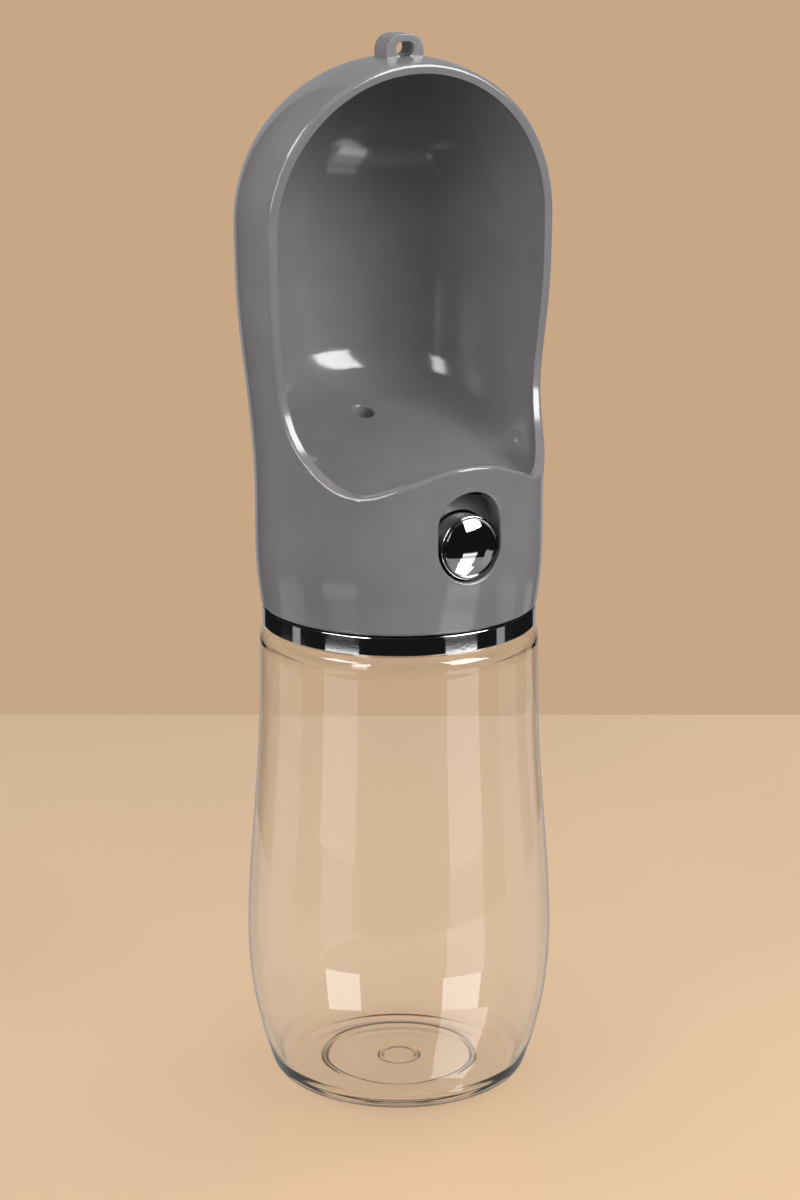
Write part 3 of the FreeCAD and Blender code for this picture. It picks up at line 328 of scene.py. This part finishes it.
@dataclass(frozen=True)
class Finish:
    """One finish: its colour, its gloss, and how much grain and how many marks it shows."""

    name: str
    color: tuple[float, float, float]
    roughness: float
    metallic: float = 0.0
    transmission: float = 0.0
    ior: float = 1.5
    tint: float = 0.05
    grain_scale: float = 1400.0
    grain_depth: float = 0.004
    marks_scale: float = 160.0
    marks_rough: float = 0.05
    edge_round: float = 0.0

    def material(self) -> bpy.types.Material:
        """Build the material, or return it if it exists.

        Returns:
            A node material on Object coordinates: the grain's slow mask tints the colour, the marks raise the
            roughness and the grain's height feeds the bump.
        """
        found = bpy.data.materials.get(self.name)
        if found:
            return found
        material = bpy.data.materials.new(self.name)
        material.use_nodes = True
        nodes, links = material.node_tree.nodes, material.node_tree.links
        shader = nodes["Principled BSDF"]
        shader.inputs["Metallic"].default_value = self.metallic
        shader.inputs["Transmission Weight"].default_value = self.transmission
        shader.inputs["IOR"].default_value = self.ior
        place = nodes.new("ShaderNodeTexCoord")
        grain, marks = nodes.new("ShaderNodeGroup"), nodes.new("ShaderNodeGroup")
        grain.node_tree, marks.node_tree = effect_group(Effect.GRAIN), effect_group(Effect.MARKS)
        grain.inputs["Scale"].default_value = self.grain_scale
        grain.inputs["Amount"].default_value = 1.0
        marks.inputs["Scale"].default_value = self.marks_scale
        marks.inputs["Amount"].default_value = 1.0
        for group in (grain, marks):
            links.new(place.outputs["Object"], group.inputs["Vector"])
        colour = nodes.new("ShaderNodeMix")
        colour.data_type = "RGBA"
        colour.inputs["A"].default_value = (*[part * (1 - self.tint) for part in self.color], 1.0)
        colour.inputs["B"].default_value = (*[min(1.0, part * (1 + self.tint)) for part in self.color], 1.0)
        links.new(grain.outputs["Mask"], colour.inputs["Factor"])
        links.new(colour.outputs["Result"], shader.inputs["Base Color"])
        rough = nodes.new("ShaderNodeMapRange")
        rough.inputs["To Min"].default_value = self.roughness
        rough.inputs["To Max"].default_value = self.roughness + self.marks_rough
        links.new(marks.outputs["Mask"], rough.inputs["Value"])
        links.new(rough.outputs["Result"], shader.inputs["Roughness"])
        bump = nodes.new("ShaderNodeBump")
        bump.inputs["Strength"].default_value = 0.5
        bump.inputs["Distance"].default_value = self.grain_depth * MM
        links.new(grain.outputs["Height"], bump.inputs["Height"])
        links.new(bump.outputs["Normal"], shader.inputs["Normal"])
        if self.edge_round:
            softened = nodes.new("ShaderNodeBevel")
            softened.samples = 6
            softened.inputs["Radius"].default_value = self.edge_round * MM
            links.new(softened.outputs["Normal"], bump.inputs["Normal"])
        return material

    def dress(self, piece: bpy.types.Object) -> None:
        """Give a piece this finish as its only material."""
        piece.data.materials.clear()
        piece.data.materials.append(self.material())


GREY_SHELL = Finish("grey_gloss_shell", (0.238, 0.228, 0.236), 0.12, marks_rough=0.04, edge_round=0.3)
GREY_PLATE = Finish("grey_satin_plate", (0.200, 0.193, 0.198), 0.30, marks_rough=0.08)
CLEAR_BOTTLE = Finish("clear_bottle_plastic", (0.985, 0.99, 1.0), 0.012, transmission=1.0, tint=0.004, ior=1.5,
                      grain_scale=220.0, grain_depth=0.0006, marks_rough=0.02)
BRIGHT_TRIM = Finish("bright_plated_trim", (0.62, 0.63, 0.64), 0.045, metallic=1.0, tint=0.02, marks_rough=0.05)
DARK_CHROME = Finish("dark_plated_button", (0.50, 0.505, 0.515), 0.035, metallic=1.0, tint=0.02, marks_rough=0.04)
WHITE_INNER = Finish("white_inner_plastic", (0.78, 0.78, 0.76), 0.42, marks_rough=0.1)
SOFT_SEAL = Finish("soft_silicone", (0.62, 0.63, 0.64), 0.5, marks_rough=0.15)
SPRING_STEEL = Finish("drawn_steel", (0.60, 0.60, 0.59), 0.28, metallic=1.0, marks_rough=0.12)


def keep_node(name: str, finish: Finish) -> None:
    """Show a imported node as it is, with a finish.

    Args:
        name: The node's name.
        finish: What its material slots get.
    """
    finish.dress(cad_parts[name])
    LOG.info("%s keeps its solid, in %s", name, finish.name)


def stand_for(piece: bpy.types.Object, finish: Finish, body: str, slot: str, *nodes: str) -> None:
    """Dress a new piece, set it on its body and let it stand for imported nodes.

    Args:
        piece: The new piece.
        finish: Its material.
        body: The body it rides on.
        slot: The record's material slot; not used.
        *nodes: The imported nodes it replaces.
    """
    finish.dress(piece)
    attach(piece, body)
    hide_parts(*nodes)
    LOG.info("%s stands for %s, %d triangles", piece.name, ", ".join(nodes), len(piece.data.polygons))


# The bottle and its trim ring


@dataclass
class Bottle:
    """The clear bottle: barrel-shaped wall, pushed-up base with its groove and gate, shoulder and threaded neck."""

    side: list[tuple[float, float]] = field(default_factory=lambda: [
        (28.3, 0.0), (32.4, 1.95), (34.1, 6.1), (35.4, 10.0), (36.5, 14.5), (37.9, 21.0), (38.9, 29.0), (39.38, 41.5),
        (39.05, 50.0), (38.4, 60.0), (36.8, 80.0), (35.8, 99.0), (35.6, 110.0), (35.5, 118.0)])
    wall: float = 1.9
    shoulder_z: float = 121.7
    shoulder_round: float = 3.4
    shoulder_inner_round: float = 4.0
    neck_r: float = 28.8
    neck_wall: float = 2.0
    neck_top: float = 130.1
    neck_foot: float = 1.0
    floor_z: float = 3.1
    floor_round: float = 5.0
    floor_rise_z: float = 8.5
    push_up: float = 1.1
    rest_r: float = 27.4
    groove_r: float = 19.6
    groove_w: float = 2.1
    groove_depth: float = 1.0
    gate_r: float = 5.9
    gate_dimple_r: float = 3.8
    gate_depth: float = 0.6
    thread_height: float = 0.38
    thread_pitch: float = 3.0
    sides: int = 256

    def outline(self) -> tuple[Array, Array]:
        """Return the wall's outline from the neck's top over the rim, down the inside, under the base and up again.

        The side is one smooth curve; the inside is that curve moved in along its normal by the wall.

        Returns:
            Points and normals as rows of (radius, height), open at the two ends of the thread.
        """
        side = SmoothCurve(self.side, first=(1.0, 0.02), last=(-0.02, 1.0)).sample(90)
        along = unit(np.gradient(side, axis=0))
        inner = side - self.wall * np.stack([along[:, 1], -along[:, 0]], axis=-1)
        inner = inner[(inner[:, 1] > self.floor_rise_z) & (inner[:, 1] < 114.0)][::-1]
        outer_r = self.side[-1][0]
        bore, under_z = self.neck_r - self.neck_wall, self.shoulder_z - self.wall
        over = [(self.neck_r, self.thread_ends()[1], 0.0), (self.neck_r, self.neck_top, 0.5)]
        over += [(bore, self.neck_top, 0.5), (bore, under_z, 1.0)]
        over += [(outer_r - self.wall, under_z, self.shoulder_inner_round)]
        heading = inner[-1] - inner[-2]
        meet = inner[-1] + heading * (self.floor_z - inner[-1][1]) / heading[1]
        floor = [(meet[0], self.floor_z, self.floor_round), (0.0, self.floor_z + 0.25, 0.0)]
        foot = [(outer_r, self.shoulder_z, self.shoulder_round), (self.neck_r, self.shoulder_z, 0.4)]
        foot += [(self.neck_r, self.thread_ends()[0], 0.0)]
        rows = [over, plain(inner), floor, plain(self.underside()), [(self.rest_r, 0.0, 0.3)], plain(side), foot]
        return rounded_outline(np.vstack([np.asarray(row, float) for row in rows]))

    def underside(self) -> Array:
        """Return the pushed-up base from the axis to the resting ring, with its gate and its groove.

        The base is a shallow dome that falls with the squared distance from the axis. The groove rises from it, and
        the ring round the gate hangs from it, by their depth times the squared cosine of the share of their half width.

        Returns:
            Rows of (radius, height).
        """
        gate_w, gate_mid = self.gate_r - self.gate_dimple_r, (self.gate_r + self.gate_dimple_r) / 2
        marks = [0.0, self.gate_dimple_r, self.gate_r, self.groove_r - self.groove_w / 2]
        marks += [self.groove_r + self.groove_w / 2, self.rest_r - 0.4]
        runs = [np.linspace(low, high, count, endpoint=False)
                for low, high, count in zip(marks[:-1], marks[1:], (6, 20, 16, 24, 8))]
        radius = np.concatenate(runs + [np.array(marks[-1:])])

        def bell(middle: float, width: float) -> Array:
            """Return the squared cosine across a band, and zero outside it."""
            return np.cos(np.clip((radius - middle) / width, -0.5, 0.5) * math.pi) ** 2

        height = self.push_up * (1 - (radius / self.rest_r) ** 2)
        height += self.groove_depth * bell(self.groove_r, self.groove_w) - self.gate_depth * bell(gate_mid, gate_w)
        return np.column_stack([radius, height])

    def thread_ends(self) -> tuple[float, float]:
        """Return the heights between which the neck carries its thread."""
        return self.shoulder_z + self.neck_foot, self.neck_top - self.neck_foot

    def threaded(self) -> tuple[Array, Array]:
        """Return the neck's outer wall, pushed out along a two-start thread.

        The ridge at a point is a bell of its distance from the nearest turn: the height less the lead's share of the
        turn, folded into one pitch. It fades out at both ends of the neck. The normal leans back by the rate at which
        the radius grows with the height and with the way round.

        Returns:
            The grid's points and normals.
        """
        low, high = self.thread_ends()
        angle, z = np.meshgrid(np.linspace(0.0, 2 * math.pi, self.sides + 1), np.linspace(low, high, 61))
        lead = 2 * self.thread_pitch

        def radius(angle: Array, z: Array) -> Array:
            """Return the wall's radius at a turn and height."""
            phase = (z - lead * angle / (2 * math.pi)) / self.thread_pitch
            offset = np.abs(phase - np.round(phase)) * self.thread_pitch
            ends = np.clip(np.minimum(z - low, high - z) / 1.2, 0.0, 1.0)
            return self.neck_r + self.thread_height * ends * np.exp(-((offset / 0.55) ** 4))

        r, step = radius(angle, z), 0.01
        climb = (radius(angle, z + step) - radius(angle, z - step)) / (2 * step)
        swell = (radius(angle + step, z) - radius(angle - step, z)) / (2 * step) / r
        angle[:, -1] = 0.0
        cos, sin = np.cos(angle), np.sin(angle)
        normals = unit(np.stack([cos + swell * sin, sin - swell * cos, -climb], axis=-1))
        return np.stack([r * cos, r * sin, z], axis=-1), normals

    def build(self) -> None:
        """Make the bottle and set it on the root body."""
        draft = MeshDraft()
        draft.turned(*self.outline(), Axis.UPRIGHT, sides=self.sides)
        draft.grid(*self.threaded())
        bottle = draft.build("bottle_clear")
        stand_for(bottle, CLEAR_BOTTLE, "bottle", "clear_plastic", "bottle")
        bottle.visible_shadow = False


@dataclass
class TrimRing:
    """The bright ring on the shoulder, with a bevel at its lower edge and rounded rims."""

    radius: float = 34.8
    low: float = 121.8
    height: float = 5.3
    wall: float = 2.2
    bevel: float = 0.7
    foot_r: float = 29.25
    foot: float = 1.3

    def build(self) -> None:
        """Make the ring and set it on the turning body."""
        high, inner = self.low + self.height, self.radius - self.wall
        corners = [(self.foot_r, self.low, 0.2), (self.radius - self.bevel, self.low, 0.12)]
        corners += [(self.radius, self.low + self.bevel, 0.12), (self.radius, high, 0.35), (inner, high, 0.3)]
        corners += [(inner, self.low + self.foot, 0.3), (self.foot_r, self.low + self.foot, 0.2)]
        draft = MeshDraft()
        draft.turned(*rounded_outline(corners, closed=True), Axis.UPRIGHT, sides=256)
        stand_for(draft.build("trim_ring"), BRIGHT_TRIM, "ring", "bright_trim", "chrome_ring")


# The button


@dataclass
class PushButton:
    """The plated button: a domed face inside a fine groove and rim, on a deep skirt with a stem boss."""

    height: float = 148.9
    radius: float = 8.0
    face: float = 35.5
    dome: float = 1.7
    rim: float = 0.7
    groove: float = 0.35
    groove_depth: float = 0.25
    edge: float = 0.3
    wall: float = 1.0
    skirt: float = 6.5
    boss_r: float = 3.4
    boss: float = 2.6
    bore: float = 2.03
    socket: float = 0.9

    def outline(self) -> tuple[Array, Array]:
        """Return the closed outline, from the dome's top over the rim, down the skirt and up the boss.

        The dome is a circle's arc: its forward place at a radius is the apex less the sphere's drop there.

        Returns:
            Points and normals as rows of (radius, forward).
        """
        rim_in = self.radius - self.rim
        lip = rim_in - self.groove
        sphere = (lip**2 + self.dome**2) / (2 * self.dome)
        r = np.linspace(0.0, lip - 0.1, 40)
        arc = self.face + self.dome - sphere + np.sqrt(sphere**2 - r**2)
        back, inner = self.face - self.skirt, self.face - self.wall
        rows = [(lip, self.face, 0.1), (lip + 0.05, self.face - self.groove_depth, 0.1)]
        rows += [(rim_in - 0.05, self.face - self.groove_depth, 0.1), (rim_in, self.face, 0.12)]
        rows += [(self.radius, self.face, self.edge), (self.radius, back, 0.15), (self.radius - self.wall, back, 0.15)]
        rows += [(self.radius - self.wall, inner, 0.4), (self.boss_r, inner, 0.3)]
        rows += [(self.boss_r, inner - self.boss, 0.2), (self.bore, inner - self.boss, 0.15)]
        rows += [(self.bore, self.face - self.socket, 0.1), (0.0, self.face - self.socket, 0.0)]
        outline = np.vstack([plain(np.column_stack([r, arc])), np.asarray(rows, float)])
        points, normals = rounded_outline(outline, closed=True)
        return points, -normals

    def build(self) -> None:
        """Make the button's cap and set it on the pressing body."""
        draft = MeshDraft()
        draft.turned(*self.outline(), Axis.FORWARD, centre=self.height, sides=192)
        stand_for(draft.build("push_button"), DARK_CHROME, "button", "dark_chrome", "button_cap")


# What stays as its solid


@dataclass
class InnerParts:
    """The pieces inside the head, which keep their solids and get their finishes."""

    finishes: dict[str, Finish] = field(default_factory=lambda: {
        "inner_cap": WHITE_INNER, "neck_gasket": SOFT_SEAL, "valve_body": WHITE_INNER, "inlet_seal": SOFT_SEAL,
        "outlet_sleeve": SOFT_SEAL, "valve_end_cap": WHITE_INNER, "end_cap_seal": SOFT_SEAL, "rod_seal": SOFT_SEAL,
        "seal_nut": WHITE_INNER, "valve_plug": SOFT_SEAL, "plunger_rod": SPRING_STEEL, "valve_spring": SPRING_STEEL,
        "valve_screws": SPRING_STEEL, "slide_guide": WHITE_INNER, "guide_screws": SPRING_STEEL,
        "button_stem": WHITE_INNER, "stem_clip": SPRING_STEEL, "button_spring": SPRING_STEEL,
        "lock_slider": GREY_PLATE, "head_shell": GREY_SHELL})

    def build(self) -> None:
        """Dress each node."""
        for name, finish in self.finishes.items():
            keep_node(name, finish)


# Studio


@dataclass
class Softbox:
    """A rectangular lamp that faces the object: azimuth is from the camera's side, positive to the camera's right."""

    name: str
    azimuth: float
    distance: float
    height: float
    width: float
    tall: float
    power: float


@dataclass
class Card:
    """An upright card that only mirrors show: its azimuths are from the camera's side, positive to its right."""

    name: str
    left: float
    right: float
    low: float
    high: float
    radius: float
    glow: float


def before_bounce(tree: bpy.types.NodeTree) -> bpy.types.NodeSocket:
    """Add a switch that is one until a ray has met a matt surface, so what mirrors show doesn't light the floor.

    Args:
        tree: The node tree it goes into.

    Returns:
        The switch's output.
    """
    path, switch = tree.nodes.new("ShaderNodeLightPath"), tree.nodes.new("ShaderNodeMath")
    switch.operation = "LESS_THAN"
    switch.inputs[1].default_value = 0.5
    tree.links.new(path.outputs["Diffuse Depth"], switch.inputs[0])
    return switch.outputs[0]


def mirror_only(piece: bpy.types.Object, glow: float) -> None:
    """Make a piece of the set glow, for glossy rays alone.

    Args:
        piece: The card.
        glow: Its strength, where one is white.
    """
    material = bpy.data.materials.new(piece.name)
    material.use_nodes = True
    shader = material.node_tree.nodes["Principled BSDF"]
    shader.inputs["Base Color"].default_value = (0.0, 0.0, 0.0, 1.0)
    shader.inputs["Specular IOR Level"].default_value = 0.0
    shader.inputs["Emission Strength"].default_value = glow
    material.node_tree.links.new(before_bounce(material.node_tree), shader.inputs["Emission Color"])
    piece.data.materials.append(material)
    piece.visible_camera = piece.visible_diffuse = False
    piece.visible_transmission = piece.visible_shadow = piece.visible_volume_scatter = False


@dataclass
class Studio:
    """The pale table and backdrop, the lamps, the cards that gloss and metal mirror, and the camera."""

    camera_place: tuple[float, float, float] = (-0.3873, -0.6873, 0.3484)
    camera_forward: tuple[float, float, float] = (0.4727, 0.8388, -0.2701)
    lens: float = 96.5
    shift: float = 1 / 1200
    floor_color: tuple[float, float, float] = (0.79, 0.55, 0.345)
    wall_color: tuple[float, float, float] = (0.575, 0.385, 0.24)
    floor_behind: float = 0.302
    floor_reach: float = 3.0
    floor_glow: float = 0.42
    lamps: list[Softbox] = field(default_factory=lambda: [
        Softbox("softbox_front", 8.0, 0.95, 0.80, 0.90, 0.5, 2.6),
        Softbox("softbox_left", -45.0, 0.80, 0.34, 0.34, 0.7, 3.1),
        Softbox("softbox_right", 62.0, 0.80, 0.50, 0.36, 0.6, 5.4),
        Softbox("softbox_left_rear", -112.0, 0.75, 0.30, 0.30, 0.8, 1.9),
        Softbox("softbox_right_rear", 128.0, 0.75, 0.30, 0.30, 0.8, 1.9),
        Softbox("softbox_over", 180.0, 0.15, 1.15, 0.7, 0.7, 3.6)])
    cards: list[Card] = field(default_factory=lambda: [
        Card("card_dark", -180.0, 180.0, -0.6, 0.9, 0.38, 0.012),
        Card("card_floor", -180.0, 180.0, -0.6, -0.04, 0.375, 0.42),
        Card("card_left", -40.0, -26.0, 0.24, 0.50, 0.36, 12.0),
        Card("card_left_top", -80.0, -42.0, 0.45, 0.66, 0.36, 14.0),
        Card("card_left_mid", -40.0, -30.0, 0.19, 0.24, 0.36, 1.0),
        Card("card_left_ring", -58.0, -36.0, 0.0315, 0.0345, 0.36, 0.5),
        Card("card_left_band", -61.0, -32.0, 0.003, 0.0255, 0.36, 1.5),
        Card("card_left_low", -58.0, -34.0, -0.09, 0.003, 0.36, 0.7),
        Card("card_left_patch", -54.0, -28.0, -0.165, -0.09, 0.36, 6.0),
        Card("card_right", 45.0, 79.0, 0.255, 0.62, 0.36, 16.0),
        Card("card_right_ring", 37.0, 66.0, 0.0310, 0.0345, 0.36, 0.5),
        Card("card_right_band", 37.5, 65.5, 0.0, 0.0255, 0.36, 2.0),
        Card("card_right_fade", 37.0, 64.0, -0.035, 0.0, 0.36, 1.1),
        Card("card_right_low", 34.0, 64.0, -0.10, -0.035, 0.36, 2.2),
        Card("card_right_patch", 32.0, 62.0, -0.165, -0.10, 0.36, 6.0),
        Card("card_right_foot", 32.0, 72.0, -0.45, -0.165, 0.36, 3.5),
        Card("card_left_far", -111.0, -82.0, -0.12, 0.020, 0.36, 0.6),
        Card("card_right_far", 85.0, 108.0, -0.12, 0.020, 0.36, 0.5),
        Card("card_right_edge", 124.0, 138.0, -0.12, 0.020, 0.36, 0.4),
        Card("card_left_strip", -96.0, -87.0, -0.5, 0.034, 0.365, 0.4),
        Card("card_right_strip", 86.0, 95.5, -0.5, 0.034, 0.365, 0.4),
        Card("card_rear", 150.0, 210.0, -0.5, 0.7, 0.37, 0.35)])

    def base_angle(self) -> float:
        """Return the angle of the camera's side of the object about +Z, in radians."""
        return math.atan2(self.camera_place[1], self.camera_place[0])

    def make_camera(self) -> None:
        """Set the camera where the photograph's was, with its long lens."""
        data = bpy.data.cameras.new("photo_camera")
        data.lens = self.lens
        data.sensor_width = 36.0
        data.shift_x = self.shift
        camera = bpy.data.objects.new("photo_camera", data)
        camera.location = self.camera_place
        camera.rotation_mode = "QUATERNION"
        camera.rotation_quaternion = Vector(self.camera_forward).to_track_quat("-Z", "Y")
        bpy.context.scene.collection.objects.link(camera)
        bpy.context.scene.camera = camera

    def make_lamps(self) -> None:
        """Set the softboxes, each facing the middle of the object; mirrors show the cards in their place."""
        for box in self.lamps:
            data = bpy.data.lights.new(box.name, "AREA")
            data.shape = "RECTANGLE"
            data.size, data.size_y = box.width, box.tall
            data.energy = box.power
            lamp = bpy.data.objects.new(box.name, data)
            angle = self.base_angle() + math.radians(box.azimuth)
            place = Vector((math.cos(angle) * box.distance, math.sin(angle) * box.distance, box.height))
            lamp.location = place
            aim = Vector((0.0, 0.0, min(0.15, box.height))) - place
            lamp.rotation_mode = "QUATERNION"
            lamp.rotation_quaternion = aim.to_track_quat("-Z", "Y")
            lamp.visible_glossy = lamp.visible_transmission = False
            bpy.context.scene.collection.objects.link(lamp)

    def make_world(self) -> None:
        """Light the room softly, and show a pale backdrop to the camera, to mirrors and through glass."""
        world = bpy.data.worlds.new("pale_studio")
        world.use_nodes = True
        nodes, links = world.node_tree.nodes, world.node_tree.links
        nodes.clear()
        soft, seen = nodes.new("ShaderNodeBackground"), nodes.new("ShaderNodeBackground")
        soft.inputs["Color"].default_value = (1.0, 0.99, 0.98, 1.0)
        soft.inputs["Strength"].default_value = 0.14
        seen.inputs["Color"].default_value = (*self.wall_color, 1.0)
        seen.inputs["Strength"].default_value = 1.0
        path = nodes.new("ShaderNodeLightPath")
        some, all_three = nodes.new("ShaderNodeMath"), nodes.new("ShaderNodeMath")
        some.operation = all_three.operation = "MAXIMUM"
        mix, out = nodes.new("ShaderNodeMixShader"), nodes.new("ShaderNodeOutputWorld")
        links.new(path.outputs["Is Camera Ray"], some.inputs[0])
        links.new(path.outputs["Is Glossy Ray"], some.inputs[1])
        links.new(some.outputs[0], all_three.inputs[0])
        links.new(path.outputs["Is Transmission Ray"], all_three.inputs[1])
        shown = nodes.new("ShaderNodeMath")
        shown.operation = "MULTIPLY"
        links.new(all_three.outputs[0], shown.inputs[0])
        links.new(before_bounce(world.node_tree), shown.inputs[1])
        links.new(shown.outputs[0], mix.inputs["Fac"])
        links.new(soft.outputs[0], mix.inputs[1])
        links.new(seen.outputs[0], mix.inputs[2])
        links.new(mix.outputs[0], out.inputs["Surface"])
        bpy.context.scene.world = world

    def sheet(self, name: str, corners: list[Array]) -> bpy.types.Object:
        """Make one flat face through four corners."""
        mesh = bpy.data.meshes.new(name)
        mesh.from_pydata([tuple(corner) for corner in corners], [], [(0, 1, 2, 3)])
        piece = bpy.data.objects.new(name, mesh)
        bpy.context.scene.collection.objects.link(piece)
        return piece

    def make_floor(self) -> None:
        """Lay a pale table top whose far edge is behind the object, square to the camera."""
        angle = self.base_angle()
        toward = np.array([math.cos(angle), math.sin(angle), 0.0])
        across = np.array([-toward[1], toward[0], 0.0])
        near, far, side = self.floor_reach * toward, -self.floor_behind * toward, self.floor_reach * across
        table = self.sheet("table", [near - side, near + side, far + side, far - side])
        Finish("pale_table", self.floor_color, 0.32, grain_scale=60.0, grain_depth=0.05, tint=0.03).dress(table)
        table.visible_glossy = table.visible_diffuse = False
        reach = 0.37 * np.array([[1.0, 1.0], [-1.0, 1.0], [-1.0, -1.0], [1.0, -1.0]])
        corners = [toward * one + across * two - (0.0, 0.0, 0.6) for one, two in reach]
        mirror_only(self.sheet("floor_in_mirrors", corners), self.floor_glow)

    def make_cards(self) -> None:
        """Stand the cards round the object; each is a strip of a cylinder about the axis.

        A point of a strip is the radius times the cosine and sine of its azimuth, at its height.
        """
        for card in self.cards:
            count = max(2, int((card.right - card.left) / 3) + 1)
            azimuth = self.base_angle() + np.radians(np.linspace(card.left, card.right, count))
            ring = card.radius * np.stack([np.cos(azimuth), np.sin(azimuth)], axis=-1)
            rows = [np.column_stack([ring, np.full(count, height)]) for height in (card.low, card.high)]
            index = np.arange(count - 1)
            faces = np.stack([index, index + 1, index + 1 + count, index + count], axis=-1)
            mesh = bpy.data.meshes.new(card.name)
            mesh.from_pydata(np.vstack(rows).tolist(), [], faces.tolist())
            piece = bpy.data.objects.new(card.name, mesh)
            bpy.context.scene.collection.objects.link(piece)
            mirror_only(piece, card.glow)

    def build(self) -> None:
        """Make the whole set."""
        self.make_camera()
        self.make_lamps()
        self.make_world()
        self.make_floor()
        self.make_cards()
        bpy.context.scene.view_settings.view_transform = "Standard"
        LOG.info("studio is set, with %d lamps", len(self.lamps))


def main() -> None:
    """Build the studio and every sub-assembly."""
    logging.basicConfig(level=logging.INFO, format="%(message)s")
    Studio().build()
    InnerParts().build()
    Bottle().build()
    TrimRing().build()
    PushButton().build()


if __name__ == "__main__":
    main()
